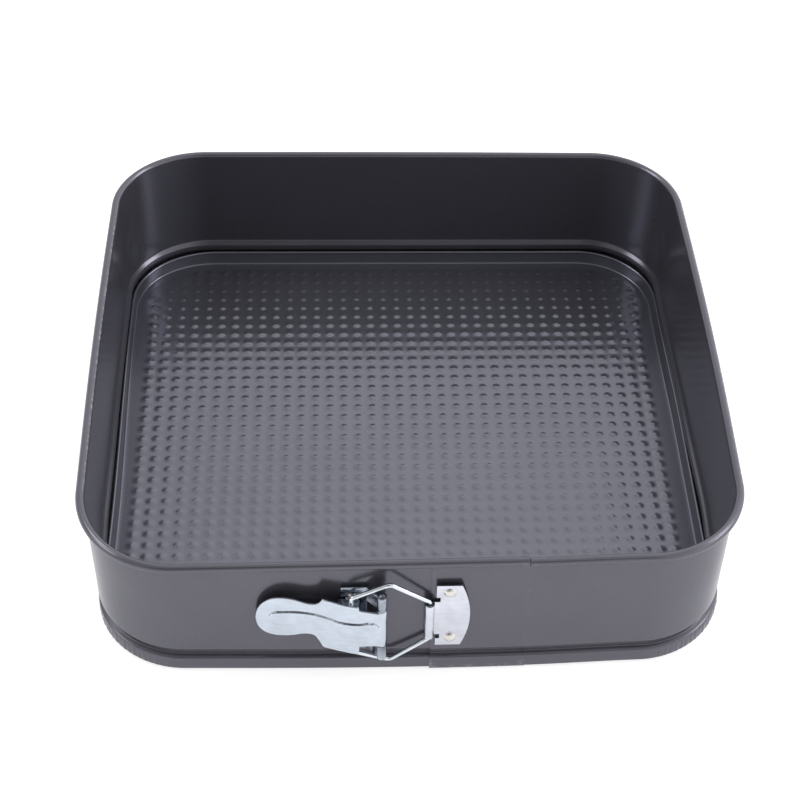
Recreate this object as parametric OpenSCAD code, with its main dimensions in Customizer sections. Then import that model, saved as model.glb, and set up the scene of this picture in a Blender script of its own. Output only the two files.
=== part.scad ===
// Square springform pan: a steel band that springs open, a lift-out base plate and a toggle latch with a wire bail.
// Millimetres, +Z up, origin at the middle of the overall footprint on the table, latch on the -Y side.

/* [Pan] */
// Outside width of the band, left to right, without the rolled rim
band_w = 262.2; // [200:0.2:300]
// Overall height, table to the top of the rim
pan_h = 65; // [40:0.5:90]
// Outside radius of the band's four corners
corner_r = 38.5; // [20:0.5:60]
// Thickness of the band sheet
band_t = 0.5; // [0.4:0.1:0.8]
// Radius of the rolled rim, to its outside
rim_r = 1.5; // [1.2:0.1:2.5]
// Height of the strip below the bead, which stands on the table
strip_h = 6.3; // [4:0.1:10]
// How far the bead stands into the pan
bead_depth = 2; // [1:0.1:3]
// Height of the bead's upper edge
bead_top_z = 12.2; // [9:0.1:16]
// How far the lip under the base plate reaches in
lip_reach = 7.5; // [5:0.5:12]

/* [Overlap of the band ends] */
// Left edge of the outer band end
seam_x = 6; // [0:0.5:15]
// Right edge of the inner band end
inner_end_x = 44; // [30:0.5:60]
// How far the outer band end lies outside the inner one
layer_gap = 0.8; // [0.75:0.05:1.2]

/* [Base plate] */
// Half width of the base plate's floor
base_half = 125.7; // [90:0.1:140]
// Half width over the base plate's rolled edge
base_edge_half = 128.2; // [90:0.1:140]
// Height of the base plate's rolled edge above the table
base_edge_z = 7.65; // [5:0.05:10]
// Thickness of the base sheet
base_t = 0.6; // [0.4:0.1:1]
// Radius of the base plate's rolled edge
base_hem_r = 0.75; // [0.5:0.05:1]

/* [Latch] */
// Height of the latch's middle
latch_z = 32.6; // [25:0.1:40]
// Position of the hinge pin along the front
pin_x = -13.5; // [-20:0.1:-5]
// Distance of the hinge pin from the inner band end's face
pin_out = 5.6; // [4.5:0.1:8]
// Radius of the hinge pin
pin_r = 1; // [0.8:0.05:1.5]
// Outside radius of the hinge knuckles
knuckle_r = 1.95; // [1.7:0.05:2.5]
// Height of the lever's rolled end
lever_roll_h = 20.6; // [15:0.1:25]
// Overall height of the bracket
bracket_h = 36.4; // [30:0.1:45]
// Thickness of the latch sheet
latch_t = 0.8; // [0.6:0.1:1.2]
// Thickness of the lever sheet
lever_t = 0.8; // [0.7:0.1:1.2]
// Angle between the closed lever and the front of the pan
lever_tilt = 6.05; // [3:0.05:10]
// Height of the lever's upper ear above the latch's middle
ear_top = 12.3; // [11:0.1:14]
// Height of the lever's lower ear below the latch's middle
ear_low = 14.1; // [12:0.1:15]
// Distance from the hinge pin to the lever's tip
lever_len = 49.8; // [40:0.1:60]
// Distance from the hinge pin to the bail's pivot, along the front
ear_back = 12; // [8:0.1:16]
// Distance of the bail's pivot from the inner band end's face
ear_out = 4.25; // [3:0.05:6]

/* [Bail and catch] */
// Radius of the bail wire
wire_r = 0.95; // [0.8:0.05:1.3]
// Position of the bail's hooked end along the front
bar_x = 5.25; // [3:0.05:8]
// Distance of the hooked end from the inner band end's face
bar_out = 2.4; // [2:0.05:4]
// Half height of the bail at its pivot
bail_ear_h = 15.9; // [15:0.1:20]
// Half height of the bail at its widest corners
bail_wide_h = 22.6; // [18:0.1:26]
// Position of the bail's widest corners along the front
bail_wide_x = -10.3; // [-15:0.1:-5]
// Half height of the bail's hooked end
bail_hook_h = 11; // [10.5:0.1:14]
// Half height of the curl that holds the hooked end
curl_h = 9.7; // [7:0.1:10.4]
// Height of the catch plate
catch_h = 35.5; // [30:0.1:45]
// Height of the catch plate's middle
catch_z = 34; // [25:0.1:40]
// Left edge of the catch plate
catch_left = 7.9; // [6:0.1:10]
// Rightmost point of the catch plate
catch_right = 21.4; // [18:0.1:30]
// Radius of the catch plate's rounded right edge
catch_edge_r = 46.8; // [30:0.1:80]
// Radius of a rivet head
rivet_head_r = 2.5; // [2:0.1:3.5]
// Radius of a rivet shank
rivet_r = 1.2; // [1:0.05:1.6]

/* [Hidden] */
$fn = 64;

coat = [0.20, 0.20, 0.22];
coat_light = [0.24, 0.24, 0.26];
zinc = [0.75, 0.78, 0.82];
rivet_steel = [0.70, 0.68, 0.64];

band_a = band_w / 2;
inner_front = band_a + 2;
outer_front = inner_front + layer_gap;
mid = band_t / 2;
curl_r = rim_r - mid;
rim_z = pan_h - rim_r;
front_reach = inner_front + pin_out + knuckle_r;
back_reach = band_a + 2 * rim_r - band_t;
shift_y = (front_reach - back_reach) / 2;
left_cx = -(band_a - corner_r);
right_cx = band_a - corner_r;
back_cy = band_a - corner_r;
inner_cy = -(inner_front - corner_r);
outer_cy = -(outer_front - corner_r);
back_gap = 0.05;
end_gap = 0.4;

// A sheet of thickness t along the polyline p, as the points of a closed outline.
function side(a, b) = [a[1] - b[1], b[0] - a[0]] / norm(b - a);
function turn(p, i) =
    i == 0 ? side(p[0], p[1])
    : i == len(p) - 1 ? side(p[i - 1], p[i])
    : (side(p[i - 1], p[i]) + side(p[i], p[i + 1])) / (1 + side(p[i - 1], p[i]) * side(p[i], p[i + 1]));
function sheet(p, t) = concat(
    [for (i = [0 : len(p) - 1]) p[i] + turn(p, i) * t / 2],
    [for (i = [len(p) - 1 : -1 : 0]) p[i] - turn(p, i) * t / 2]
);

// Section of the band: first number inward from the wall's outer face, second number height.
rim_line = [for (a = [240 : -24 : 0]) [mid - curl_r + curl_r * cos(a), rim_z + curl_r * sin(a)]];
wall_line = [
    [mid, bead_top_z],
    [mid + bead_depth, bead_top_z - bead_depth],
    [mid + bead_depth, strip_h + bead_depth + mid],
    [0, strip_h]
];
foot_line = [[0, 0.7 + mid], [0.7, mid], [lip_reach, mid]];
full_section = sheet(concat(rim_line, wall_line, foot_line), band_t);
plain_section = sheet(concat([[mid, rim_z - 0.3]], wall_line, [[0, 0]]), band_t);

module front_run(section, x0, x1, front)
    translate([x0, 0, 0])
        rotate([90, 0, 90])
            linear_extrude(x1 - x0)
                polygon([for (p = section) [p[0] - front, p[1]]]);

module back_run(section, x0, x1)
    translate([x0, 0, 0])
        rotate([90, 0, 90])
            linear_extrude(x1 - x0)
                polygon([for (p = section) [band_a - p[0], p[1]]]);

module side_run(section, dir, y0, y1)
    translate([0, y1, 0])
        rotate([90, 0, 0])
            linear_extrude(y1 - y0)
                polygon([for (p = section) [dir * (band_a - p[0]), p[1]]]);

module corner(section, x, y, from)
    translate([x, y, 0])
        rotate_extrude(angle = 90, start = from)
            polygon([for (p = section) [corner_r - p[0], p[1]]]);

// Hole through the front wall for a rivet shank.
module wall_hole(x, z, r)
    translate([x, 0, z])
        rotate([90, 0, 0])
            cylinder(h = outer_front + 5, r = r);

bracket_rivet_x = -25;
bracket_rivet_z = [latch_z - 12.2, latch_z + 12.2];
catch_rivet_at = [[13.2, catch_z + 13.6], [13.8, catch_z - 13.2]];
shank_fit = 0.04;

// Band, left half: back, left side and the inner end that runs behind the catch.
module band_left()
    color(coat)
        translate([0, shift_y, 0])
            difference() {
                union() {
                    back_run(full_section, left_cx, -back_gap);
                    corner(full_section, left_cx, back_cy, 90);
                    side_run(full_section, -1, inner_cy, back_cy);
                    corner(full_section, left_cx, inner_cy, 180);
                    front_run(full_section, left_cx, inner_end_x, inner_front);
                }
                for (z = bracket_rivet_z)
                    wall_hole(bracket_rivet_x, z, rivet_r + shank_fit);
            }

// Band, right half: back, right side and the outer end that carries the catch.
module band_right()
    color(coat)
        translate([0, shift_y, 0])
            difference() {
                union() {
                    back_run(full_section, back_gap, right_cx);
                    corner(full_section, right_cx, back_cy, 0);
                    side_run(full_section, 1, outer_cy, back_cy);
                    corner(full_section, right_cx, outer_cy, 270);
                    front_run(full_section, inner_end_x + end_gap, right_cx, outer_front);
                    front_run(plain_section, seam_x, inner_end_x + end_gap, outer_front);
                }
                for (p = catch_rivet_at)
                    wall_hole(p[0], p[1], rivet_r + shank_fit);
            }

// Base plate: flat floor, sloping edge and a rolled hem that sits just under the bead.
base_floor_z = band_t + 0.05;
hem_mid = base_edge_half - base_hem_r;
hem_z = base_edge_z - base_hem_r;
base_r = corner_r - (band_a - base_edge_half);
base_section = sheet([[base_half - 1.5, base_floor_z + base_t / 2], [base_half, base_floor_z + base_t / 2],
                      [hem_mid, hem_z]], base_t);

module base_edge_2d() {
    polygon([for (p = base_section) [p[0] - base_edge_half + base_r, p[1]]]);
    translate([hem_mid - base_edge_half + base_r, hem_z])
        circle(r = base_hem_r);
}

module base_side(turned)
    rotate([0, 0, turned])
        translate([base_edge_half - base_r, base_edge_half - base_r, 0])
            rotate([90, 0, 0])
                linear_extrude(2 * (base_edge_half - base_r))
                    base_edge_2d();

module base_corner(turned)
    rotate([0, 0, turned])
        translate([base_edge_half - base_r, base_edge_half - base_r, 0])
            rotate_extrude(angle = 90)
                base_edge_2d();

module base_plate()
    color(coat_light)
        translate([0, shift_y, 0]) {
            for (a = [0 : 90 : 270]) {
                base_side(a);
                base_corner(a);
            }
            translate([0, 0, base_floor_z])
                linear_extrude(base_t)
                    base_floor_2d();
        }

module base_floor_2d() {
    flat = base_half - 1;
    c = base_edge_half - base_r;
    square([2 * flat, 2 * c], center = true);
    square([2 * c, 2 * flat], center = true);
    for (a = [0 : 90 : 270])
        rotate([0, 0, a])
            translate([c, c])
                circle(r = flat - c);
}

// The latch is drawn with its own x along the front and y outward from the inner band end's face.
module on_front()
    translate([0, shift_y - inner_front, 0])
        mirror([0, 1, 0])
            children();

// A plan outline drawn in x and outward distance, given height between z0 and z1.
module upright(z0, z1)
    translate([0, 0, z0])
        linear_extrude(z1 - z0)
            children();

bracket_left = -29.5;
bracket_bend = -19.3;
bracket_line = [
    [bracket_left, latch_t / 2],
    [bracket_bend, latch_t / 2],
    [pin_x - knuckle_r + latch_t / 2, pin_out - 0.6],
    [pin_x - knuckle_r + latch_t / 2, pin_out]
];
knuckle_z = lever_roll_h / 2 + 0.3;

module bracket_lug_2d()
    difference() {
        union() {
            polygon(sheet(bracket_line, latch_t));
            translate([pin_x, pin_out])
                circle(r = knuckle_r);
        }
        translate([pin_x, pin_out])
            circle(r = pin_r + 0.03);
    }

// Hinge bracket: plate on the band, two lugs rising to the hinge knuckles.
module hinge_bracket()
    color(zinc)
        on_front()
            difference() {
                union() {
                    upright(latch_z - bracket_h / 2, latch_z - knuckle_z)
                        bracket_lug_2d();
                    upright(latch_z + knuckle_z, latch_z + bracket_h / 2)
                        bracket_lug_2d();
                    upright(latch_z - bracket_h / 2, latch_z + bracket_h / 2)
                        translate([bracket_left, 0])
                            square([bracket_bend - bracket_left, latch_t]);
                }
                for (z = bracket_rivet_z)
                    translate([bracket_rivet_x, 5, z])
                        rotate([90, 0, 0])
                            cylinder(h = 10, r = rivet_r + shank_fit);
            }

// One rivet: domed head on the latch sheet, shank through sheet and band, flat tail inside.
module rivet(x, z, grip, tail) {
    dome_r = (rivet_head_r * rivet_head_r + 1.1 * 1.1) / (2 * 1.1);
    translate([x, 0, z])
        rotate([90, 0, 0]) {
            translate([0, 0, -grip])
                cylinder(h = grip + 0.1, r = rivet_r);
            rotate_extrude()
                intersection() {
                    translate([0, 1.1 - dome_r])
                        circle(r = dome_r);
                    square([rivet_head_r + 1, 2]);
                }
            if (tail > 0)
                translate([0, 0, -grip - tail])
                    cylinder(h = tail, r = rivet_head_r - 0.4);
        }
}

module bracket_rivets()
    color(rivet_steel)
        for (z = bracket_rivet_z)
            translate([0, shift_y - inner_front - latch_t, 0])
                rivet(bracket_rivet_x, z, latch_t + band_t, 0.5);

module catch_rivets()
    color(rivet_steel)
        for (p = catch_rivet_at)
            translate([0, shift_y - outer_front - latch_t, 0])
                rivet(p[0], p[1], latch_t + band_t, 0);

// Hinge pin through the bracket's knuckles and the lever's rolled end.
module hinge_pin()
    color(rivet_steel)
        on_front()
            translate([pin_x, pin_out, latch_z - bracket_h / 2 + 0.8])
                cylinder(h = bracket_h - 1.6, r = pin_r);

// Lever outline, seen from the front: first number back from the hinge pin, second number above the latch's middle.
lever_outline = [
    [0, 0.4 - lever_roll_h / 2], [2.4, 0.4 - lever_roll_h / 2], [8.7, -lever_roll_h / 2 - 0.4], [8.9, -15.2],
    [11, -15.6], [17, -14.2], [23, -12.2], [25, -8], [26.6, -5.4], [29, -4.8], [31.5, -5.0], [34.5, -6], [38.5, -6.7],
    [42.5, -6.5], [46, -5.1], [48.6, -1.8], [lever_len - 0.4, 3.2], [48.6, 8.2], [46.6, 11.9], [43.6, 14.5],
    [39.7, 15.7], [35.2, 15.3], [31.4, 14.0], [28.2, 13.2], [25.4, 13.4], [24, 14.8], [23, 16.5],
    [20, 15.3], [17, 14.1], [14, 13.3], [8.9, 12.8], [8.7, lever_roll_h / 2 + 0.4], [2.4, lever_roll_h / 2 - 0.4],
    [0, lever_roll_h / 2 - 0.4]
];
rib_line = [
    [4, -0.4], [8, -0.9], [13, -1.1], [18, -0.2], [22.5, 1.8], [27, 3.5], [31, 4.2], [35, 4.2], [40.5, 3.4]
];
rib_w = 7.6;
rib_h = 0.4;
flange_deep = 3.6;

module lever_plate(outline, from, thick)
    translate([pin_x, pin_out + knuckle_r + 0.05 - lever_t + from, latch_z])
        rotate([90, 0, 0])
            mirror([0, 0, 1])
                linear_extrude(thick)
                    polygon([for (p = outline) [-p[0], p[1]]]);

module lever_flange(h)
    translate([pin_x - 17.5, pin_out + knuckle_r - lever_t - flange_deep, latch_z + h - latch_t / 2])
        cube([8.4, flange_deep + 0.2, latch_t]);

// Turned about the hinge pin, so that the closed lever leans against the pan.
module about_pin(angle)
    translate([pin_x, pin_out, 0])
        rotate([0, 0, angle])
            translate([-pin_x, -pin_out, 0])
                children();

ear_x = pin_x - ear_back;

module lever()
    color(zinc)
        on_front()
            difference() {
                union() {
                    about_pin(lever_tilt) {
                        lever_plate(lever_outline, 0, lever_t);
                        lever_plate(sheet(rib_line, rib_w), 0.3, lever_t + rib_h - 0.3);
                        lever_flange(ear_top);
                        lever_flange(-ear_low);
                    }
                    translate([pin_x, pin_out, latch_z - lever_roll_h / 2])
                        cylinder(h = lever_roll_h, r = knuckle_r);
                }
                translate([pin_x, pin_out, latch_z - lever_roll_h])
                    cylinder(h = 2 * lever_roll_h, r = pin_r + 0.06);
                for (h = [ear_top, -ear_low])
                    translate([ear_x, ear_out, latch_z + h - 2])
                        cylinder(h = 4, r = wire_r + 0.06);
            }

// A wire bent along a flat path, with a bend radius at each inner point of the path.
function heading(p, i) = (p[i + 1] - p[i]) / norm(p[i + 1] - p[i]);
function cross2(a, b) = a[0] * b[1] - a[1] * b[0];
function bend_angle(p, i) = atan2(cross2(heading(p, i - 1), heading(p, i)), heading(p, i - 1) * heading(p, i));
function trim(p, r, i) = i == 0 || i == len(p) - 1 ? 0 : r[i] * tan(abs(bend_angle(p, i)) / 2);

// Straight lengths run this far into the bends, whose wire is a hair thicker.
bend_lap = 0.04;

module bent_wire(p, r) {
    for (i = [0 : len(p) - 2]) {
        d = heading(p, i);
        start = p[i] + d * (trim(p, r, i) - (i > 0 ? bend_lap : 0));
        end = p[i + 1] - d * (trim(p, r, i + 1) - (i < len(p) - 2 ? bend_lap : 0));
        translate([start[0], start[1], 0])
            rotate([0, 90, atan2(d[1], d[0])])
                cylinder(h = norm(end - start), r = wire_r);
    }
    for (i = [1 : len(p) - 2]) {
        turned = bend_angle(p, i);
        hand = turned > 0 ? 1 : -1;
        d = heading(p, i - 1);
        n = [-d[1], d[0]] * hand;
        c = p[i] - d * trim(p, r, i) + n * r[i];
        from = atan2(-n[1], -n[0]);
        translate([c[0], c[1], 0])
            rotate_extrude(angle = abs(turned), start = hand > 0 ? from : from - abs(turned))
                translate([r[i], 0])
                    circle(r = wire_r + 0.01);
    }
}

// Wire bail: a rod through the lever's ears, two bent arms, and hooked ends that meet the catch's curl.
bail_angle = atan2(bar_out - ear_out, bar_x - ear_x);
bail_len = norm([bar_x - ear_x, bar_out - ear_out]);
bail_corner = (bail_wide_x - ear_x) / cos(bail_angle);
hook_end_h = curl_h + 0.35;

module wire_bail()
    color(zinc)
        on_front()
            translate([ear_x, ear_out, latch_z])
                rotate([0, 0, bail_angle])
                    rotate([90, 0, 0])
                        bent_wire(
                            [
                                [bail_len, -hook_end_h], [bail_len, -bail_hook_h], [bail_corner, -bail_wide_h],
                                [0, -bail_ear_h], [0, bail_ear_h], [bail_corner, bail_wide_h],
                                [bail_len, bail_hook_h], [bail_len, hook_end_h]
                            ],
                            [0, 1.4, 3, 1.6, 1.6, 3, 1.4, 0]
                        );

// Catch plate: riveted to the outer band end, with a curl round the bail's hooked end.
curl_in = wire_r + 0.3;
curl_out = curl_in + latch_t;
catch_face = layer_gap;

module catch_outline_2d()
    intersection() {
        translate([catch_left, catch_z - catch_h / 2])
            square([catch_right - catch_left + 1, catch_h]);
        translate([catch_right - catch_edge_r, catch_z])
            circle(r = catch_edge_r, $fn = 128);
    }

module catch_plate()
    color(zinc)
        on_front()
            difference() {
                union() {
                    translate([0, catch_face, 0])
                        rotate([90, 0, 0])
                            mirror([0, 0, 1])
                                linear_extrude(latch_t)
                                    difference() {
                                        catch_outline_2d();
                                        for (dir = [-1, 1])
                                            translate([catch_left - 1, latch_z + dir * (curl_h + 1.3) - 1.3])
                                                square([2.6, 2.6]);
                                    }
                    upright(latch_z - curl_h, latch_z + curl_h)
                        translate([bar_x + 1.3, catch_face])
                            square([catch_left - bar_x, latch_t]);
                    translate([bar_x, bar_out, latch_z - curl_h])
                        rotate_extrude(angle = 285, start = -50)
                            translate([curl_in, 0])
                                square([latch_t, 2 * curl_h]);
                }
                for (p = catch_rivet_at)
                    translate([p[0], 8, p[1]])
                        rotate([90, 0, 0])
                            cylinder(h = 16, r = rivet_r + shank_fit);
            }

band_left();
band_right();
base_plate();
hinge_bracket();
bracket_rivets();
hinge_pin();
lever();
wire_bail();
catch_plate();
catch_rivets();
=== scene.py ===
import math

import bmesh
import bpy
import numpy as np
from mathutils import Matrix, Vector
from mathutils.geometry import delaunay_2d_cdt


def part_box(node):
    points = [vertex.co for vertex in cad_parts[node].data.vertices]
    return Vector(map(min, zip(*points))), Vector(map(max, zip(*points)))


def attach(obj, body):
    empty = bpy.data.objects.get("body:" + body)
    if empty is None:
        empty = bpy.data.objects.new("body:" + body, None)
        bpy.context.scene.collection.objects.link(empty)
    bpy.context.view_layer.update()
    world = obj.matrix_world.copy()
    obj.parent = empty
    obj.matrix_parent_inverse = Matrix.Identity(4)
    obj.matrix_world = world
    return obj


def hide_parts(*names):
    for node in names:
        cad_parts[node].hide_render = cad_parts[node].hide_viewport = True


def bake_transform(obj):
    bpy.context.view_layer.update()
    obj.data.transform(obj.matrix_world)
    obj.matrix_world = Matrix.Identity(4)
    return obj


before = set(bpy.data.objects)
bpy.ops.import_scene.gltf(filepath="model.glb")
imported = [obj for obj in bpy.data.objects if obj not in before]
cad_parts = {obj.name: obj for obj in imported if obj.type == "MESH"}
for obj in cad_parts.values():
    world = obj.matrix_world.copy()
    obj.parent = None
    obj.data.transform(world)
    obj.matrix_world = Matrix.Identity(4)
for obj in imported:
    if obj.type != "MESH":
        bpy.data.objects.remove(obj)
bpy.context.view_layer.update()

# Lengths are in millimetres until MM turns them into metres.
MM = 0.001
QUARTER = math.pi / 2

# The pan's own middle, front to back, in the shared frame.
base_lo, base_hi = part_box("base_plate")
SHIFT = (base_lo.y + base_hi.y) / 2 / MM


# ---------------------------------------------------------------- helpers for shapes
def smooth(t):
    """0 below 0, 1 above 1, and an even S-curve between."""
    t = np.clip(t, 0, 1)
    return t * t * (3 - 2 * t)


def filleted(points, radii, step=0.22):
    """A polyline with rounded bends."""
    pts = [np.array(p, float) for p in points]
    out = [pts[0]]
    for i in range(1, len(pts) - 1):
        p, r = pts[i], radii[i]
        a = pts[i - 1] - p
        b = pts[i + 1] - p
        la, lb = np.linalg.norm(a), np.linalg.norm(b)
        a, b = a / la, b / lb
        angle = math.acos(float(np.clip(a @ b, -1, 1)))
        turn = math.pi - angle
        if r <= 0 or turn < 1e-3:
            out.append(p)
            continue
        cut = min(r * math.tan(turn / 2), 0.49 * la, 0.49 * lb)
        r = cut / math.tan(turn / 2)
        centre = p + (a + b) / np.linalg.norm(a + b) * (r / math.sin(angle / 2))
        start, end = p + a * cut - centre, p + b * cut - centre
        n = max(2, int(math.ceil(r * turn / step)))
        for k in range(n + 1):
            w = k / n
            v = start * math.sin((1 - w) * turn) + end * math.sin(w * turn)
            out.append(centre + v / math.sin(turn))
    out.append(pts[-1])
    return np.array(out)


def split_long(line, longest):
    """The same polyline with no segment longer than the given length."""
    out = [line[0]]
    for a, b in zip(line[:-1], line[1:]):
        n = max(1, int(math.ceil(np.linalg.norm(b - a) / longest)))
        out += [a + (b - a) * (k + 1) / n for k in range(n)]
    return np.array(out)


def curve_through(points, step):
    """A smooth open curve through given points (Catmull-Rom), about evenly stepped."""
    p = np.array(points, float)
    out = []
    for i in range(len(p) - 1):
        p0, p1, p2, p3 = p[max(i - 1, 0)], p[i], p[i + 1], p[min(i + 2, len(p) - 1)]
        n = max(1, int(round(np.linalg.norm(p2 - p1) / step)))
        for k in range(n):
            t = k / n
            out.append(0.5 * ((2 * p1) + (p2 - p0) * t + (2 * p0 - 5 * p1 + 4 * p2 - p3) * t * t
                              + (3 * p1 - p0 - 3 * p2 + p3) * t ** 3))
    out.append(p[-1])
    return np.array(out)


def distance_to(line, p, closed):
    """Distance of the points p to a polyline, and which side of it they are on."""
    q = np.array(line, float)
    ends = np.roll(q, -1, 0) if closed else q[1:]
    starts = q if closed else q[:-1]
    best = np.full(len(p), 1e9)
    side_of = np.zeros(len(p))
    for a, b in zip(starts, ends):
        d = b - a
        length = np.linalg.norm(d)
        t = np.clip(((p - a) @ d) / (length * length), 0, 1)
        r = np.linalg.norm(p - (a + t[:, None] * d), axis=1)
        cross = d[0] * (p[:, 1] - a[1]) - d[1] * (p[:, 0] - a[0])
        hit = r < best
        best = np.where(hit, r, best)
        side_of = np.where(hit, np.sign(cross), side_of)
    return best, side_of


def shade(mesh, angle):
    """Smooth shading, with a hard edge where faces meet at more than the angle, in degrees."""
    bm = bmesh.new()
    bm.from_mesh(mesh)
    for f in bm.faces:
        f.smooth = True
    for e in bm.edges:
        e.smooth = len(e.link_faces) != 2 or e.calc_face_angle(0) < math.radians(angle)
    bm.to_mesh(mesh)
    bm.free()


def make(name, verts, faces, smooth_angle=38):
    """A new object in the scene from vertices in metres and faces."""
    mesh = bpy.data.meshes.new(name)
    mesh.from_pydata([tuple(v) for v in verts], [], faces)
    mesh.validate()
    obj = bpy.data.objects.new(name, mesh)
    bpy.context.scene.collection.objects.link(obj)
    bm = bmesh.new()
    bm.from_mesh(mesh)
    bmesh.ops.recalc_face_normals(bm, faces=bm.faces)
    bm.to_mesh(mesh)
    bm.free()
    shade(mesh, smooth_angle)
    return obj


def break_edges(obj, width, segments, smooth_angle):
    """Bevels the sharp edges of an object, and keeps the result as its mesh. The width is in metres."""
    mod = obj.modifiers.new("edge", "BEVEL")
    mod.width = width
    mod.segments = segments
    mod.limit_method = "ANGLE"
    mod.angle_limit = math.radians(35)
    mod.use_clamp_overlap = True
    done = bpy.data.meshes.new_from_object(obj.evaluated_get(bpy.context.evaluated_depsgraph_get()))
    obj.modifiers.clear()
    obj.data = done
    shade(obj.data, smooth_angle)


def tube_faces(count, ring):
    """Quads between count neighbouring rings of vertices."""
    return [(i * ring + k, i * ring + (k + 1) % ring, (i + 1) * ring + (k + 1) % ring, (i + 1) * ring + k)
            for i in range(count - 1) for k in range(ring)]


# ---------------------------------------------------------------- materials
def material(name):
    m = bpy.data.materials.new(name)
    m.use_nodes = True
    nt = m.node_tree
    for n in list(nt.nodes):
        nt.nodes.remove(n)
    out = nt.nodes.new("ShaderNodeOutputMaterial")
    bsdf = nt.nodes.new("ShaderNodeBsdfPrincipled")
    nt.links.new(bsdf.outputs[0], out.inputs[0])
    return m, nt, bsdf


def noise(nt, coords, scale, detail=4, rough=0.6):
    n = nt.nodes.new("ShaderNodeTexNoise")
    n.inputs["Scale"].default_value = scale
    n.inputs["Detail"].default_value = detail
    n.inputs["Roughness"].default_value = rough
    nt.links.new(coords, n.inputs["Vector"])
    return n.outputs[0]


def ramp(nt, value, lo, hi, a, b):
    """The value, mapped from lo..hi to a..b and clamped."""
    n = nt.nodes.new("ShaderNodeMapRange")
    n.inputs["From Min"].default_value = lo
    n.inputs["From Max"].default_value = hi
    n.inputs["To Min"].default_value = a
    n.inputs["To Max"].default_value = b
    nt.links.new(value, n.inputs["Value"])
    return n.outputs[0]


def mix_colours(nt, factor, a, b):
    """A mix of two colours, each a constant or a socket."""
    n = nt.nodes.new("ShaderNodeMix")
    n.data_type = "RGBA"
    nt.links.new(factor, n.inputs[0])
    for socket, colour in ((n.inputs[6], a), (n.inputs[7], b)):
        if isinstance(colour, tuple):
            socket.default_value = (*colour, 1)
        else:
            nt.links.new(colour, socket)
    return n.outputs[2]


def maths(nt, op, a, b):
    n = nt.nodes.new("ShaderNodeMath")
    n.operation = op
    for i, v in enumerate((a, b)):
        if isinstance(v, (int, float)):
            n.inputs[i].default_value = v
        else:
            nt.links.new(v, n.inputs[i])
    return n.outputs[0]


def weighted(nt, a, part_a, b, part_b):
    return maths(nt, "ADD", maths(nt, "MULTIPLY", a, part_a), maths(nt, "MULTIPLY", b, part_b))


def pointiness(nt):
    return nt.nodes.new("ShaderNodeNewGeometry").outputs["Pointiness"]


def bump(nt, bsdf, height, strength, distance):
    n = nt.nodes.new("ShaderNodeBump")
    n.inputs["Strength"].default_value = strength
    n.inputs["Distance"].default_value = distance
    nt.links.new(height, n.inputs["Height"])
    nt.links.new(n.outputs[0], bsdf.inputs["Normal"])


def coating(name, dark, light, rough, metal):
    """Non-stick coating on sheet steel: fine metallic speckle, soft orange peel, rubbed edges."""
    m, nt, b = material(name)
    tc = nt.nodes.new("ShaderNodeTexCoord").outputs["Object"]
    fine = noise(nt, tc, 2600, 2, 0.5)
    cloud = noise(nt, tc, 34, 4, 0.6)
    speckle = ramp(nt, weighted(nt, fine, 0.72, cloud, 0.28), 0.25, 0.75, 0, 1)
    patchy = ramp(nt, noise(nt, tc, 420, 3), 0.5, 0.72, 0, 0.55)
    wear = maths(nt, "MULTIPLY", ramp(nt, pointiness(nt), 0.53, 0.62, 0, 1), patchy)
    colour = mix_colours(nt, wear, mix_colours(nt, speckle, dark, light), (0.38, 0.37, 0.38))
    nt.links.new(colour, b.inputs["Base Color"])
    b.inputs["Metallic"].default_value = metal
    b.inputs["Specular Tint"].default_value = (0.76, 0.76, 0.79, 1)
    sheen = ramp(nt, weighted(nt, fine, 0.5, cloud, 0.5), 0.3, 0.7, rough - 0.03, rough + 0.04)
    nt.links.new(sheen, b.inputs["Roughness"])
    bump(nt, b, weighted(nt, noise(nt, tc, 900, 2), 0.6, fine, 0.4), 0.06, 0.00006)
    return m


def zinc(name, tint, rough, stain_and_shade=0.80):
    """Bright plating: fine drawing lines, cloudy sheen, painted shade in the hollows."""
    m, nt, b = material(name)
    tc = nt.nodes.new("ShaderNodeTexCoord").outputs["Object"]
    drawn = nt.nodes.new("ShaderNodeMapping")
    drawn.inputs["Scale"].default_value = (60, 400, 2600)
    nt.links.new(tc, drawn.inputs["Vector"])
    lines = noise(nt, drawn.outputs[0], 1.0, 3, 0.6)
    cloud = noise(nt, tc, 160, 4, 0.6)
    pits = noise(nt, tc, 1500, 3, 0.6)
    mixed = weighted(nt, cloud, 0.6, lines, 0.4)
    # A darker tint mixed in by noise: random stains at the usual setting, painted shade mottling where it is set low
    # (the bracket).
    darker_tint = tuple(c * stain_and_shade for c in tint)
    plating = mix_colours(nt, ramp(nt, mixed, 0.34, 0.66, 0, 1), darker_tint, tint)
    # Painted shade: concave hollows (low pointiness) are darkened almost to black.
    painted_hollow_shade = ramp(nt, pointiness(nt), 0.40, 0.475, 0.85, 0)
    nt.links.new(mix_colours(nt, painted_hollow_shade, plating, (0.035, 0.04, 0.05)), b.inputs["Base Color"])
    b.inputs["Metallic"].default_value = 1.0
    nt.links.new(ramp(nt, mixed, 0.3, 0.7, rough - 0.05, rough + 0.08), b.inputs["Roughness"])
    bump(nt, b, weighted(nt, lines, 0.5, pits, 0.5), 0.12, 0.00008)
    return m


COAT = coating("nonstick_coating", (0.096, 0.094, 0.112), (0.130, 0.128, 0.153), 0.19, 0.64)
COAT_BASE = coating("nonstick_base", (0.123, 0.124, 0.150), (0.164, 0.165, 0.198), 0.20, 0.72)
ZINC = zinc("zinc_plating", (0.58, 0.635, 0.72), 0.15)
PLATE = zinc("zinc_plating_catch", (0.65, 0.665, 0.74), 0.16)
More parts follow.
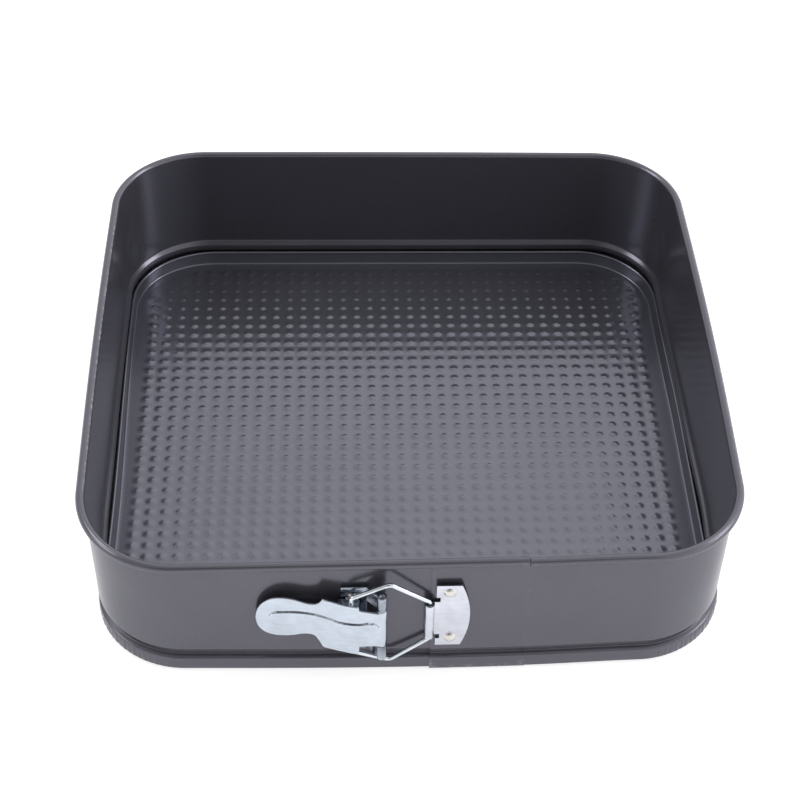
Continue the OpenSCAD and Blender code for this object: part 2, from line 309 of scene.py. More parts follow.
# The bracket: a darker copy of the zinc with heavy dark mottling, painted shade and painted dark reflection from the
# lever above it.
BRACKET_PAINTED_SHADE = zinc("zinc_plating_bracket_painted_shade", (0.50, 0.55, 0.63), 0.20, 0.22)
# Cut steel of the sheet edges, darkened further as painted shade and painted dark reflection along the edges.
EDGE_AND_SHADE = zinc("cut_edge_painted_shade", (0.27, 0.30, 0.35), 0.26)
WIRE = zinc("bright_wire", (0.72, 0.76, 0.82), 0.09)
RIVET = zinc("rivet_steel", (0.72, 0.69, 0.65), 0.14)


def finish_piece(obj, mat, slot_name, *nodes):
    obj.data.materials.clear()
    obj.data.materials.append(mat)
    if nodes:
        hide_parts(*nodes)
    return obj


def dark_edges(obj, normal, least, most):
    """Cut sheet edges are duller than the plated faces, and darker still as painted shade along the edges: every
    face turned that far from the given normal.
    """
    obj.data.materials.append(EDGE_AND_SHADE)
    n = Vector(normal)
    for p in obj.data.polygons:
        if least <= abs(p.normal.dot(n)) <= most:
            p.material_index = 1


# ---------------------------------------------------------------- band
A = 131.1          # half width over the walls
R = 38.5           # corner radius over the walls
C = A - R          # middle of a corner's curve
T = 0.5            # thickness of the sheet
H = 65.0           # height over the rim
SEAM = 6.0         # left edge of the outer end
SPLICE = 43.6      # right edge of the inner end
LAYER = 0.6        # how far the outer end stands outside the inner one
STRETCH = 80.0     # half length of the part of the back wall that stretches as the band opens

# A section runs through points [u, z], u inward from the wall's nominal outside and z up.
ROLL_U, ROLL_R, ROLL_END = -1.35, 1.6, 300     # rolled rim: its middle, its sheet's radius, its last angle
WALL = [[0.25, 12.2], [2.15, 10.6], [2.15, 7.6], [0.0, 6.9]]
WALL_R = [2.2, 0.9, 0.6, 0.6]
FOOT = [[0.0, 0.95], [0.9, 0.25], [7.5, 0.25]]
FOOT_R = [0.8, 0.6, 0]
PLAIN_TOP, PLAIN_FOOT = [0.25, 60.8], [0.0, 0.75]
LONGEST = 3.0                                  # longest straight piece of a section
EDGE_ANGLES = (0.52, 1.05, 1.57, 2.09, 2.62)   # the half circle round a sheet's edge, in radians

WALL_STEP, CORNER_STEP = 4, 0.42               # distance of the sections along walls and corners

# How the walls bow, because the sheet is formed by hand. LOW is near the foot, TOP under the rim.
FRONT_LOW, FRONT_TOP, FRONT_OUT, FRONT_SKEW = 2.08, 0.37, 0.20, 0.0115
BACK_TOP, BACK_IN = 0.46, 0.6
LEFT_TOP, LEFT_IN, LEFT_SKEW = 1.15, 0.45, 0.0054
RIGHT_TOP, RIGHT_IN = 1.67, 0.85
SIDE_FOOT = -1.7                               # how far both sides' feet stand in at the front corners
# From there to the back, the feet move out by the first number, starting at minus the second, over the third.
LEFT_STEPS = ((1.7, 100, 50), (1.0, 60, 120))
RIGHT_STEPS = ((1.5, 100, 50), (-1.0, 60, 70), (-0.9, 0, 80))
RIGHT_TOE = 0.7                                # the right side's foot strip stands out at the front

# The foot strip's pleats round each corner: amplitude, waves, and phase of three ripples.
PLEATS = ((0.10, 2.35, 0.0), (0.07, 3.9, 1.3), (0.05, 1.12, 0.4))


def bow(t):
    """1 at the middle of a wall, falling to 0 towards its corners."""
    return np.maximum(0, 1 - (t / 121.0) ** 2) ** 1.5


def stepped(t, steps):
    return sum((rise * smooth((t + before) / length) for rise, before, length in steps), SIDE_FOOT)


def push_of(side, t, z, outer):
    """How far a wall stands outside its nominal plane at place t along it and height z."""
    if side == "front":
        up = smooth((z - 30) / 32)
        layer = LAYER * (1 - smooth((t - 44) / 46)) if outer else 0.0
        return FRONT_LOW * bow(t) * (1 - up) + (FRONT_TOP * bow(t) + FRONT_OUT - FRONT_SKEW * t) * up + layer
    up = smooth((z - 6) / 56)
    if side == "back":
        return (BACK_TOP * bow(t) - BACK_IN) * up
    if side == "left":
        return stepped(t, LEFT_STEPS) * (1 - up) + (LEFT_TOP * bow(t) - LEFT_IN + LEFT_SKEW * t) * up
    toe = RIGHT_TOE * smooth((7.4 - z) / 1.8) * smooth((-t - 60) / 30)
    return (stepped(t, RIGHT_STEPS) + toe) * (1 - up) + (RIGHT_TOP * bow(t) - RIGHT_IN) * up


def sheet_outline(line, t):
    """Closed outline of a sheet of thickness t along a centre line, with rounded edges at its two ends."""
    d = np.gradient(line, axis=0)
    d /= np.linalg.norm(d, axis=1)[:, None]
    n = np.stack([-d[:, 1], d[:, 0]], 1)
    left, right = line + n * t / 2, line - n * t / 2
    end = [line[-1] + (n[-1] * math.cos(a) + d[-1] * math.sin(a)) * t / 2 for a in EDGE_ANGLES]
    start = [line[0] + (-n[0] * math.cos(a) - d[0] * math.sin(a)) * t / 2 for a in EDGE_ANGLES]
    return np.array(list(left) + end + list(right[::-1]) + start)


def full_section():
    """Rolled rim, wall, groove above the foot, foot strip, and the lip turned in under the base."""
    roll_z = H - T / 2 - ROLL_R
    rim = [[ROLL_U + ROLL_R * math.cos(math.radians(a)), roll_z + ROLL_R * math.sin(math.radians(a))]
           for a in range(ROLL_END, -1, -10)]
    rest = filleted([rim[-1]] + WALL + FOOT, [0] + WALL_R + FOOT_R)
    return sheet_outline(split_long(np.array(rim[:-1] + list(rest)), LONGEST), T)


def plain_section():
    """The outer end's section, which the inner end's rim and lip wrap."""
    line = filleted([PLAIN_TOP] + WALL + [PLAIN_FOOT], [0] + WALL_R + [0])
    return sheet_outline(split_long(line, LONGEST), T)


def place(side, s, section, outer):
    """The section's points at place s along a wall, or at angle s of a corner (its middle and first angle)."""
    u, z = section[:, 0], section[:, 1]
    out = np.empty((len(section), 3))
    out[:, 2] = z
    if side in ("front", "back"):
        reach = A - u + push_of(side, s, z, outer)
        out[:, 0], out[:, 1] = s, reach if side == "back" else -reach
    elif side in ("left", "right"):
        reach = A - u + push_of(side, s, z, outer)
        out[:, 0], out[:, 1] = reach if side == "right" else -reach, s
    else:
        cx, cy, first = side
        t = (s - first) / QUARTER
        fade = smooth(t / 0.18) * smooth((1 - t) / 0.18)
        wave = sum(size * np.sin(s * R * waves + phase) for size, waves, phase in PLEATS)
        pleat = fade * wave * smooth((7.2 - z) / 2.6) * smooth((z - 0.3) / 1.2)
        ca, sa = math.cos(s), math.sin(s)
        across = push_of("left" if cx < 0 else "right", cy + R * sa, z, outer)
        along = push_of("front" if cy < 0 else "back", cx + R * ca, z, outer)
        out[:, 0] = cx + (R - u + pleat + across) * ca
        out[:, 1] = cy + (R - u + pleat + along) * sa
    out[:, 1] += SHIFT
    return out


def stations(kind, a, b, step=WALL_STEP):
    n = max(1, int(math.ceil(abs(b - a) / step)))
    return [(kind, a + (b - a) * k / n) for k in range(n + 1)]


def corner_stations(cx, cy, first):
    return stations((cx, cy, first), first, first + QUARTER, CORNER_STEP / R)


def sweep(name, runs, section, outer, cap_start, cap_end):
    """Sweeps the section through the stations, left open at an end where another piece goes on."""
    rows, last = [], None
    for kind, s in runs:
        row = place(kind, s, section, outer)
        if last is not None and np.abs(row - last).max() < 1e-7:
            continue
        rows.append(row)
        last = row
    n = len(section)
    faces = tube_faces(len(rows), n)

    def cap(base, flip):
        i, j = 0, n - 1
        while j - i > 1:
            face = (i, i + 1, j - 1, j) if j - i > 2 else (i, i + 1, j)
            face = tuple(base + k for k in face)
            faces.append(face[::-1] if flip else face)
            i, j = i + 1, j - 1

    if cap_start:
        cap(0, False)
    if cap_end:
        cap((len(rows) - 1) * n, True)
    return make(name, np.concatenate(rows) * MM, faces)


full, plain = full_section(), plain_section()

left_runs = (stations("back", -STRETCH, -C) + corner_stations(-C, C, QUARTER) + stations("left", C, -C)
             + corner_stations(-C, -C, 2 * QUARTER) + stations("front", -C, SPLICE))
left = sweep("band_left_strip", left_runs, full, False, False, True)
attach(left, "band_left_body")
finish_piece(left, COAT, "nonstick_coating", "band_left")

right_runs = (stations("front", SPLICE + 0.3, C) + corner_stations(C, -C, 3 * QUARTER) + stations("right", -C, C)
              + corner_stations(C, C, 0.0) + stations("back", C, STRETCH))
right = sweep("band_right_strip", right_runs, full, True, True, False)
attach(right, "band_right_body")
finish_piece(right, COAT, "nonstick_coating", "band_right")

tongue = sweep("band_right_end", stations("front", SEAM, SPLICE + 1.2), plain, True, True, True)
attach(tongue, "band_right_body")
finish_piece(tongue, COAT, "nonstick_coating")

rear = sweep("band_back", stations("back", STRETCH, -STRETCH), full, False, False, False)
finish_piece(rear, COAT, "nonstick_coating")
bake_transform(rear)

# ---------------------------------------------------------------- base plate
FLOOR_TOP, FLOOR_BOTTOM = 1.15, 0.6
FLAT, FLAT_R = 123.6, 33.5                     # half width of the flat floor, and its corner radius
BEND, RIM = 125.9 - FLAT, 128.2 - FLAT         # bend and outermost edge, outward from the flat floor
HEM_R, HEM_Z = 0.75, 6.75                      # the edge's rolled hem
HEM_U = RIM - HEM_R
EDGE_STEP = 2.6                                # distance of the sections round the corners
PITCH, GRID_X, GRID_Y, COUNT = 6.525, -1.45, 0.1, 18     # the grid of bumps, and bumps each way from its middle
BUMP_R, BUMP_H = 2.75, 0.47
PANEL_H = 0.32                                 # how far the embossed panel stands above the trough round it
SETTLE_LEFT, SETTLE_LOW, SETTLE_RIGHT = 1.6, 0.9, 1.1    # how far the plate's edge lies to the left at the back


def inside_floor(x, y, margin):
    half, r = FLAT - margin, FLAT_R - margin
    qx, qy = max(abs(x) - (half - r), 0), max(abs(y) - (half - r), 0)
    return max(abs(x), abs(y)) <= half and math.hypot(qx, qy) <= r


def rounded(half, r, step):
    """Points round a square with rounded corners, anticlockwise."""
    out = []
    c = half - r
    for k, (sx, sy) in enumerate(((1, 1), (-1, 1), (-1, -1), (1, -1))):
        n = max(4, int(round(r * math.pi / 2 / step)))
        for i in range(n + 1):
            a = math.pi / 2 * (k + i / n)
            out.append((sx * c + r * math.cos(a), sy * c + r * math.sin(a)))
        ax, ay = out[-1]
        bx, by = ((-c, half), (-half, -c), (c, -half), (half, c))[k]
        m = max(1, int(round(math.hypot(bx - ax, by - ay) / 6.5)))
        out += [(ax + (bx - ax) * i / m, ay + (by - ay) * i / m) for i in range(1, m)]
    return out


def bump_cells():
    """Grid cells with a bump, and whether the whole cell lies inside the floor's outline."""
    cells = {}
    for i in range(-COUNT, COUNT + 1):
        for j in range(-COUNT, COUNT + 1):
            x, y = GRID_X + PITCH * i, GRID_Y + PITCH * j
            whole = all(inside_floor(x + dx * PITCH * 0.5, y + dy * PITCH * 0.5, 0.15)
                        for dx in (-1, 1) for dy in (-1, 1))
            if whole or inside_floor(x, y, 3.4):
                cells[(i, j)] = whole
    return cells


def floor_sheet(z, sign, segments, rings):
    """Flat sheet with a square grid of raised round bumps, up to the rounded outline. Returns (verts, faces)."""
    per_side = segments // 4
    cells = bump_cells()
    verts, faces, index = [], [], {}

    def vert(x, y, h):
        key = (round(x, 4), round(y, 4))
        if key not in index:
            index[key] = len(verts)
            verts.append((x, y, z + h))
        return index[key]

    # The first point of each circle faces the cell's lower left corner, half a segment on.
    angles = [2 * math.pi * (k + 0.5) / segments - 3 * math.pi / 4 for k in range(segments)]
    profile = [(BUMP_R * k / rings, BUMP_H * (1 - smooth(k / rings))) for k in range(1, rings + 1)]
    loops = []
    for (i, j), whole in cells.items():
        x, y = GRID_X + PITCH * i, GRID_Y + PITCH * j
        top = vert(x, y, BUMP_H)
        circles = [[vert(x + r * math.cos(a), y + r * math.sin(a), h) for a in angles] for r, h in profile]
        for k in range(segments):
            faces.append((top, circles[0][k], circles[0][(k + 1) % segments]))
        for a, b in zip(circles[:-1], circles[1:]):
            for k in range(segments):
                faces.append((a[k], b[k], b[(k + 1) % segments], a[(k + 1) % segments]))
        foot = circles[-1]
        if not whole:
            loops.append(foot)
            continue
        edge = []
        for side_no in range(4):
            for k in range(per_side):
                t = -0.5 + k / per_side
                dx, dy = ((t, -0.5), (0.5, t), (-t, 0.5), (-0.5, -t))[side_no]
                edge.append(vert(x + dx * PITCH, y + dy * PITCH, 0))
        for k in range(segments):
            faces.append((foot[k], edge[k], edge[(k + 1) % segments]))
            faces.append((foot[k], edge[(k + 1) % segments], foot[(k + 1) % segments]))
        loops.append(edge)

    # What is left of the sheet, between the cells and its outline.
    pts, where, seen = [], {}, {}

    def flat(p):
        key = (round(p[0], 4), round(p[1], 4))
        if key not in where:
            where[key] = len(pts)
            pts.append(Vector((p[0], p[1])))
        return where[key]

    ring = [flat(p) for p in rounded(FLAT, FLAT_R, EDGE_STEP)]
    edges = [(ring[k], ring[(k + 1) % len(ring)]) for k in range(len(ring))]
    for loop in loops:
        ids = [flat(verts[v]) for v in loop]
        for k in range(len(ids)):
            key = tuple(sorted((ids[k], ids[(k + 1) % len(ids)])))
            seen[key] = seen.get(key, 0) + 1
    edges += [e for e, n in seen.items() if n == 1]
    out_v, _, out_f, _, _, _ = delaunay_2d_cdt(pts, edges, [], 0, 1e-5)
    for f in out_f:
        cx = sum(out_v[v].x for v in f) / len(f)
        cy = sum(out_v[v].y for v in f) / len(f)
        i, j = round((cx - GRID_X) / PITCH), round((cy - GRID_Y) / PITCH)
        whole = cells.get((i, j))
        in_bump = math.hypot(cx - GRID_X - PITCH * i, cy - GRID_Y - PITCH * j) < BUMP_R * 0.97
        if whole or (whole is False and in_bump) or not inside_floor(cx, cy, -0.01):
            continue
        faces.append(tuple(vert(out_v[v].x, out_v[v].y, 0) for v in f))
    if sign < 0:
        faces = [f[::-1] for f in faces]
    return verts, faces


def rounded_sweep(line, half, r, step):
    """A section (outward, height) swept round the rounded square. Returns (verts, faces)."""
    path = rounded(half, r, step)
    c = half - r
    verts = []
    for x, y in path:
        qx, qy = max(abs(x) - c, 0), max(abs(y) - c, 0)
        length = math.hypot(qx, qy)
        nx, ny = (math.copysign(qx / length, x), math.copysign(qy / length, y)) if length > 0 else (0, 0)
        verts += [(x + nx * u, y + ny * u, z) for u, z in line]
    n, m = len(path), len(line)
    faces = [(i * m + k, ((i + 1) % n) * m + k, ((i + 1) % n) * m + k + 1, i * m + k + 1)
             for i in range(n) for k in range(m - 1)]
    return verts, faces


def inset_of(x, y):
    """Distance of a point inside the edge of the flat floor."""
    c = FLAT - FLAT_R
    if max(abs(x), abs(y)) <= c:
        return FLAT_R
    return FLAT_R - math.hypot(max(abs(x) - c, 0), max(abs(y) - c, 0))


def dish(x, y, z):
    """The embossed panel stands a little above the trough along its edge."""
    if z > 2.2:
        return z
    return z + PANEL_H * (1 - smooth((5.0 - inset_of(x, y)) / 7.3))


def settle(x, y, z):
    """The plate's edge lies a little to the left at the back, against the band."""
    w = smooth((abs(x) - 84) / 36) * smooth(1 - inset_of(x, y) / 3.2)
    if x < 0:
        low = 1 - smooth((z - 1.2) / 5)
        return x - w * smooth((y + 60) / 130) * (SETTLE_LEFT + SETTLE_LOW * low)
    return x - w * SETTLE_RIGHT * smooth(y / 80)


def base_sheet():
    inner = filleted([[0, FLOOR_TOP], [BEND - 0.25, FLOOR_TOP], [HEM_U - 0.45, HEM_Z - 0.3]], [0, 0.8, 0])
    hem = [[HEM_U + HEM_R * math.cos(a), HEM_Z + HEM_R * math.sin(a)]
           for a in np.linspace(math.radians(205), math.radians(-60), 15)]
    outside = filleted(
        [hem[-1], [HEM_U + 0.28, HEM_Z - HEM_R], [BEND + 0.3, FLOOR_BOTTOM], [0, FLOOR_BOTTOM]], [0, 0.2, 1.3, 0])
    profile = [tuple(p) for p in list(inner) + hem + list(outside[1:])]
    verts, faces = [], []
    for v, f in (floor_sheet(FLOOR_TOP, 1, 12, 4), floor_sheet(FLOOR_BOTTOM, -1, 8, 2),
                 rounded_sweep(profile, FLAT, FLAT_R, EDGE_STEP)):
        faces += [tuple(k + len(verts) for k in face) for face in f]
        verts += v
    mesh = bpy.data.meshes.new("base_sheet")
    mesh.from_pydata([(settle(x, y, z) * MM, (y + SHIFT) * MM, dish(x, y, z) * MM) for x, y, z in verts], [], faces)
    obj = bpy.data.objects.new("base_sheet", mesh)
    bpy.context.scene.collection.objects.link(obj)
    bm = bmesh.new()
    bm.from_mesh(mesh)
    bmesh.ops.remove_doubles(bm, verts=bm.verts, dist=2e-6)
    bmesh.ops.recalc_face_normals(bm, faces=bm.faces)
    bm.to_mesh(mesh)
    bm.free()
    shade(mesh, 42)
    return obj


base = base_sheet()
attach(base, "base_body")
finish_piece(base, COAT_BASE, "nonstick_base", "base_plate")

# ---------------------------------------------------------------- latch
LATCH_Z = 32.6                                 # height of the latch's middle
FRONT = A + 2.0                                # the plane that the latch is measured out from
PIN_X, PIN_OUT = -13.5, 5.6
KNUCKLE, PIN_BORE = 1.95, 1.06                 # radii of the lever's roll, outside and inside
ROLL_HALF = 10.3                               # half length of that roll
TILT = math.radians(6.05)                      # lever to front wall
LEVER_T = 0.8
RIB_H, RIB_HALF = 0.40, 3.3                    # the lever's raised rib: height, and half width of its top
EAR_X, EAR_OUT, BAR_X, BAR_OUT = -25.5, 4.25, 5.25, 2.4     # the bail's two ends
WIDE_X = -10.3                                 # where the bail is widest
BAIL_EAR_H, BAIL_WIDE_H, BAIL_BAR_H = 15.9, 22.6, 11
WIRE_R = 0.95


def latch_point(x, out, h):
    """A point beside the latch: x to the right, out from the front wall, and h above the latch's middle."""
    return (x * MM, (SHIFT - FRONT - out) * MM, (LATCH_Z + h) * MM)


def on_lever(a, h, n):
    """A point a back from the hinge pin, h above the latch's middle, n proud of the lever's face."""
    dx, out = -a, KNUCKLE + 0.05 + n
    x = dx * math.cos(TILT) - out * math.sin(TILT)
    o = dx * math.sin(TILT) + out * math.cos(TILT)
    return latch_point(PIN_X + x, PIN_OUT + o, h)


def broken_copy(name, node_name):
    """A CAD piece with its sharp sheet edges broken."""
    obj = bpy.data.objects.new(name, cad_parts[node_name].data.copy())
    bpy.context.scene.collection.objects.link(obj)
    bm = bmesh.new()
    bm.from_mesh(obj.data)
    bmesh.ops.remove_doubles(bm, verts=bm.verts, dist=1e-6)
    bmesh.ops.dissolve_limit(bm, angle_limit=math.radians(1.0), verts=bm.verts, edges=bm.edges)
    bm.to_mesh(obj.data)
    bm.free()
    break_edges(obj, 0.16 * MM, 2, 36)
    return obj


def points_inside(outline, points):
    inside = np.zeros(len(points), bool)
    for a, b in zip(outline, np.roll(outline, -1, 0)):
        spans = (a[1] > points[:, 1]) != (b[1] > points[:, 1])
        with np.errstate(divide="ignore", invalid="ignore"):
            crossing = (b[0] - a[0]) * (points[:, 1] - a[1]) / (b[1] - a[1]) + a[0]
        inside ^= spans & (points[:, 0] < crossing)
    return points[inside]


def lever_sheet():
    """The lever's plate, [back from the pin, up], with its rolled edge, raised rib and pressed crease."""
    tail = curve_through([
        [23.2, -12.1], [25, -8], [26.8, -5.3], [30.2, -4.8], [34.5, -6], [38.5, -6.7],
        [42.5, -6.5], [46, -5.1], [48.6, -1.8], [49.5, 3.2], [48.6, 8.2], [46.6, 11.9], [43.6, 14.5],
        [39.7, 15.7], [35.2, 15.3], [31.4, 14.0], [28.2, 13.2], [25.4, 13.5], [24, 14.8], [23.1, 16.4]], 0.45)
    head = np.array([
        [22.3, 15.9], [20, 15.2], [17, 14.1], [14, 13.3], [8.9, 12.6], [8.6, 10.7], [2.4, 9.9], [-0.2, 9.9],
        [-0.2, -9.9], [2.4, -9.9], [8.6, -10.7], [8.9, -15.2], [11, -15.5], [17, -14.1], [22.2, -12.6]])
    rib = curve_through([
        [4.6, 0], [8, -0.9], [13, -1.1], [18, -0.2], [22.5, 1.8], [27, 3.5], [31, 4.1], [35, 4.1], [40.2, 3.5]], 0.5)
    outline = split_long(np.concatenate([tail, head, tail[:1]]), 0.5)[:-1]

    # Mesh points: the outline, rings just inside it, a grid, and lines along the rib's two shoulders.
    d = np.roll(outline, -1, 0) - np.roll(outline, 1, 0)
    n = np.stack([-d[:, 1], d[:, 0]], 1)
    n /= np.linalg.norm(n, axis=1)[:, None]
    ahead = np.roll(outline, -1, 0)
    if np.sum(outline[:, 0] * ahead[:, 1] - ahead[:, 0] * outline[:, 1]) < 0:
        n = -n
    pts = [tuple(p) for p in outline]
    for off in (0.12, 0.27, 0.48, 0.8):
        ring = outline + n * off
        clear = distance_to(outline, ring, True)[0]
        pts += [tuple(p) for p, q in zip(ring, clear) if q > off * 0.93]
    gx, gy = np.meshgrid(np.arange(-0.2, 50, 0.42), np.arange(-16, 17, 0.42))
    grid = points_inside(outline, np.stack([gx.ravel(), gy.ravel()], 1))
    pts += [tuple(p) for p in grid[distance_to(outline, grid, True)[0] > 1.05]]
    d = np.gradient(rib, axis=0)
    rib_n = np.stack([-d[:, 1], d[:, 0]], 1) / np.linalg.norm(d, axis=1)[:, None]
    for off in (3.3, 3.6, 3.8, 4.0, 4.2, 4.5):
        for sign in (1, -1):
            line = rib + rib_n * off * sign
            to_rib, to_edge = distance_to(rib, line, False)[0], distance_to(outline, line, True)[0]
            pts += [tuple(p) for p, q, e in zip(line, to_rib, to_edge) if q > off * 0.97 and e > 0.9]
    m = len(outline)
    out_v, _, out_f, _, _, _ = delaunay_2d_cdt(
        [Vector(p) for p in pts], [(i, (i + 1) % m) for i in range(m)], [], 1, 1e-6)
    flat = np.array([(v.x, v.y) for v in out_v])

    # Heights: the edge rounded over, the broad rib with a crease along it, and a slight waviness.
    edge = distance_to(outline, flat, True)[0]
    from_rib, rib_side = distance_to(rib, flat, False)
    rolled = 0.35 * np.sqrt(np.clip(1 - np.clip(1 - edge / 0.45, 0, 1) ** 2, 0, 1)) - 0.35
    crease = np.where(rib_side > 0, 0.42, 0.10) * np.exp(-((from_rib - 3.95) / 0.24) ** 2)
    raised = RIB_H * (1 - smooth((from_rib - RIB_HALF) / 0.7)) - crease
    crown = 0.10 * np.sin(flat[:, 0] * 0.21 + 0.6) * np.cos(flat[:, 1] * 0.23) * smooth((flat[:, 0] - 3) / 6)
    top = rolled + raised * smooth((edge - 0.2) / 0.8) + crown * smooth((edge - 0.1) / 1.5)
    bottom = 0.42 * (1 - smooth((from_rib - 2.9) / 0.9)) - LEVER_T
    verts = [on_lever(p[0], p[1], q) for p, q in zip(flat, top)]
    k = len(verts)
    verts += [on_lever(p[0], p[1], q) for p, q in zip(flat, bottom)]
    faces = [tuple(f) for f in out_f] + [tuple(v + k for v in f)[::-1] for f in out_f]
    used = {(a, b): None for f in out_f for a, b in zip(f, list(f[1:]) + [f[0]])}
    faces += [(b, a, a + k, b + k) for a, b in used if (b, a) not in used]
    return make("lever_sheet", verts, faces, 50)


def lever_ear(name, low, high):
    """A small sheet flange between two corners in the lever's own measures, its edges broken."""
    (a0, h0, n0), (a1, h1, n1) = low, high
    verts = [on_lever(a, h, n) for a in (a0, a1) for h in (h0, h1) for n in (n0, n1)]
    faces = [(0, 1, 3, 2), (4, 6, 7, 5), (0, 4, 5, 1), (2, 3, 7, 6), (0, 2, 6, 4), (1, 5, 7, 3)]
    obj = make(name, verts, faces)
    break_edges(obj, 0.22 * MM, 3, 40)
    return obj


def lever_roll():
    """The lever's end, rolled round the pin, with its long edges eased."""
    n, eased = 48, 0.12
    rings = [(-ROLL_HALF, KNUCKLE - eased)]
    rings += [(z, KNUCKLE) for z in (-ROLL_HALF + 0.15, -5, 0, 5, ROLL_HALF - 0.15)]
    rings += [(ROLL_HALF, KNUCKLE - eased)]
    outer = len(rings)
    rings += [(-ROLL_HALF, PIN_BORE), (ROLL_HALF, PIN_BORE)]
    verts = []
    for z, r in rings:
        for k in range(n):
            a = 2 * math.pi * k / n
            verts.append(latch_point(PIN_X + r * math.cos(a), PIN_OUT + r * math.sin(a), z))
    faces = tube_faces(outer, n)
    last, low, high = (outer - 1) * n, outer * n, (outer + 1) * n
    for k in range(n):
        j = (k + 1) % n
        faces.append((j, k, low + k, low + j))
        faces.append((last + k, last + j, high + j, high + k))
        faces.append((low + j, low + k, high + k, high + j))
    return make("lever_roll", verts, faces, 40)


def wire_loop(name, path, radius, ring=20):
    """A closed loop of round wire along a path of points, in metres."""
    p = [Vector(v) for v in path]
    verts = []
    for i, c in enumerate(p):
        d = (p[min(i + 1, len(p) - 1)] - p[max(i - 1, 0)]).normalized()
        u = d.cross(Vector((0, 1, 0))).normalized()
        w = u.cross(d).normalized()
        angles = [2 * math.pi * k / ring for k in range(ring)]
        verts += [c + (u * math.cos(a) + w * math.sin(a)) * radius for a in angles]
    end = (len(p) - 1) * ring
    faces = tube_faces(len(p), ring) + [(end + k, end + (k + 1) % ring, (k + 1) % ring, k) for k in range(ring)]
    return make(name, verts, faces, 45)


def bail_wire():
    length = math.hypot(BAR_X - EAR_X, BAR_OUT - EAR_OUT)
    angle = math.atan2(BAR_OUT - EAR_OUT, BAR_X - EAR_X)
    wide = (WIDE_X - EAR_X) / math.cos(angle)
    corners = [[0, 0], [0, BAIL_EAR_H], [wide, BAIL_WIDE_H], [length, BAIL_BAR_H],
               [length, -BAIL_BAR_H], [wide, -BAIL_WIDE_H], [0, -BAIL_EAR_H], [0, 0]]
    loop = filleted(corners, [0, 1.6, 3, 1.6, 1.6, 3, 1.6, 0], 0.18)[:-1]
    path = [latch_point(EAR_X + u * math.cos(angle), EAR_OUT + u * math.sin(angle), h) for u, h in loop]
    return wire_loop("bail_wire", path, WIRE_R * MM)


catch = broken_copy("catch_sheet", "catch_plate")
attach(catch, "band_right_body")
finish_piece(catch, PLATE, "zinc_plated_steel", "catch_plate")
# The catch's top edge faces: a dark line of painted shade above the plate.
dark_edges(catch, (0, 0, 1), 0.5, 1)
bracket = broken_copy("bracket_sheet", "hinge_bracket")
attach(bracket, "band_left_body")
finish_piece(bracket, BRACKET_PAINTED_SHADE, "zinc_plated_steel", "hinge_bracket")
dark_edges(bracket, (0, 0, 1), 0.5, 1)

lever = lever_sheet()
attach(lever, "lever_body")
finish_piece(lever, ZINC, "zinc_plated_steel", "lever")
dark_edges(lever, (-math.sin(TILT), -math.cos(TILT), 0), 0, 0.5)
for tag, h in (("upper", 12.3), ("lower", -14.1)):
    ear = lever_ear("lever_ear_" + tag, (9.1, h - 0.4, -4.4), (17.5, h + 0.4, -0.5))
    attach(ear, "lever_body")
    finish_piece(ear, ZINC, "zinc_plated_steel")
roll_end = lever_roll()
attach(roll_end, "lever_body")
finish_piece(roll_end, ZINC, "zinc_plated_steel")

bail = bail_wire()
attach(bail, "bail_body")
finish_piece(bail, WIRE, "zinc_plated_steel", "wire_bail")

for name in ("hinge_pin", "bracket_rivets", "catch_rivets"):
    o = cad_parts[name]
    o.data.materials.clear()
    o.data.materials.append(RIVET)


# ---------------------------------------------------------------- floor, light, camera
def stage_plane():
    """A plain white floor that fades into the background."""
    half, z = 6.0, -0.0004
    m = bpy.data.meshes.new("floor")
    m.from_pydata([(-half, -half, z), (half, -half, z), (half, half, z), (-half, half, z)], [], [(0, 1, 2, 3)])
    o = bpy.data.objects.new("floor", m)
    bpy.context.scene.collection.objects.link(o)
    mat, nt, b = material("floor_white")
    b.inputs["Base Color"].default_value = (0.5, 0.5, 0.503, 1)
    b.inputs["Roughness"].default_value = 0.6
    b.inputs["Emission Color"].default_value = (1, 1, 1, 1)
    b.inputs["Emission Strength"].default_value = 0.72
    m.materials.append(mat)


def area(name, loc, side, power):
    """A square lamp that faces the pan."""
    lamp = bpy.data.lights.new(name, "AREA")
    lamp.shape = "RECTANGLE"
    lamp.size, lamp.size_y = side, side
    lamp.energy = power
    o = bpy.data.objects.new(name, lamp)
    bpy.context.scene.collection.objects.link(o)
    o.location = loc
    o.rotation_euler = (-Vector(loc)).to_track_quat("-Z", "Y").to_euler()


def facing(nt, direction, vector):
    """Cosine of the angle between a direction and a fixed one."""
    n = nt.nodes.new("ShaderNodeVectorMath")
    n.operation = "DOT_PRODUCT"
    nt.links.new(direction, n.inputs[0])
    n.inputs[1].default_value = vector
    return n.outputs["Value"]


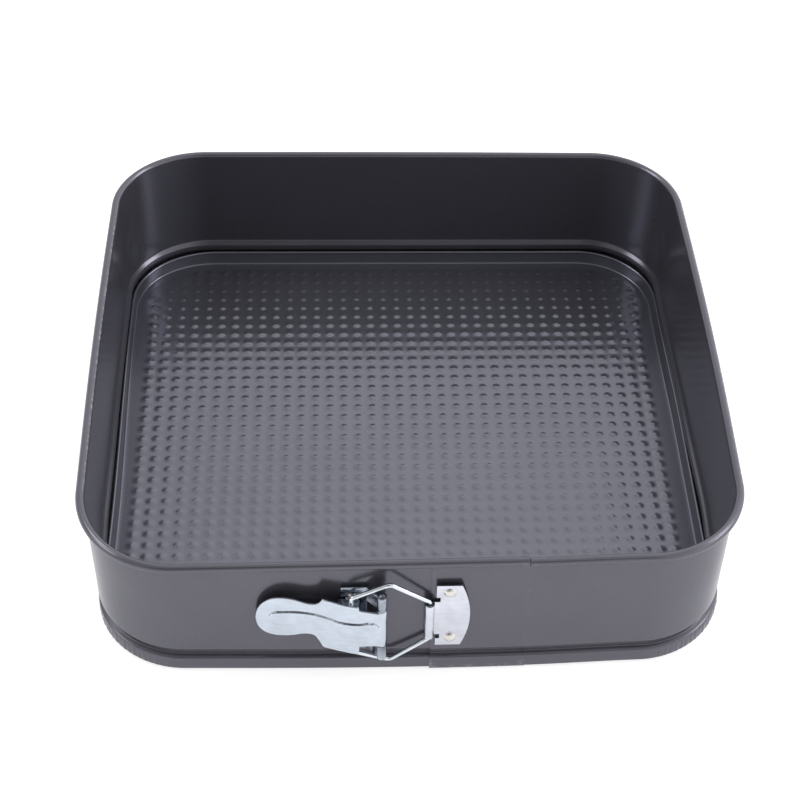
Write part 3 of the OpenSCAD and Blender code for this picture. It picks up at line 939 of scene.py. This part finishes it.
def studio():
    """A white tent all round, brighter to both sides and the back, dark where the photographer stands."""
    world = bpy.data.worlds.new("studio")
    bpy.context.scene.world = world
    world.use_nodes = True
    nt = world.node_tree
    direction = nt.nodes.new("ShaderNodeTexCoord").outputs["Generated"]
    split = nt.nodes.new("ShaderNodeSeparateXYZ")
    nt.links.new(direction, split.inputs[0])
    x, y = split.outputs[0], split.outputs[1]
    dark = ramp(nt, facing(nt, direction, (-0.08, -0.72, 0.69)), 0.89, 0.98, 0, 0.80)
    right_wall = ramp(nt, x, 0.45, 0.95, 0, 0.7)
    left_shade = ramp(nt, x, -0.16, 0.02, -0.32, 0)
    right_box = ramp(nt, facing(nt, direction, (0.84, 0.02, 0.54)), 0.965, 0.99, 0, 5.4)
    left_box = ramp(nt, facing(nt, direction, (-0.82, -0.03, 0.57)), 0.965, 0.99, 0, 4.4)
    level = ramp(nt, y, 0.0, 0.7, 0, 0.45)
    for part in (right_wall, left_shade, right_box, left_box, 0.95):
        level = maths(nt, "ADD", level, part)
    nt.links.new(maths(nt, "MULTIPLY", level, maths(nt, "SUBTRACT", 1.0, dark)), nt.nodes["Background"].inputs[1])
    nt.nodes["Background"].inputs[0].default_value = (1, 1, 1, 1)


def camera(lens, shift_x, place_mm, yaw, pitch, roll):
    """Looks along +Y, turned right by yaw, tipped down by pitch and rolled, all in degrees."""
    cam = bpy.data.cameras.new("camera")
    cam.sensor_width = 36.0
    cam.lens = lens
    cam.shift_x = shift_x
    cam.clip_start = 0.01
    obj = bpy.data.objects.new("camera", cam)
    bpy.context.scene.collection.objects.link(obj)
    yaw, pitch, roll = (math.radians(v) for v in (yaw, pitch, roll))
    fwd = Vector((math.sin(yaw) * math.cos(pitch), math.cos(yaw) * math.cos(pitch), -math.sin(pitch)))
    right = Vector((math.cos(yaw), -math.sin(yaw), 0))
    up = right.cross(fwd)
    x_axis = right * math.cos(roll) + up * math.sin(roll)
    y_axis = -right * math.sin(roll) + up * math.cos(roll)
    matrix = Matrix((x_axis, y_axis, -fwd)).transposed().to_4x4()
    matrix.translation = Vector(place_mm) * MM
    obj.matrix_world = matrix
    return obj


stage_plane()
area("key", (-0.9, 0.5, 1.3), 0.38, 3.5)
area("fill", (0.9, 0.4, 1.3), 0.3, 2.0)
studio()
bpy.context.scene.view_settings.view_transform = "Standard"
bpy.context.scene.camera = camera(85.4646, -0.12, (-27.82, -622.073 + SHIFT, 611.049), 6.2999, 43.1653, 3.8531)
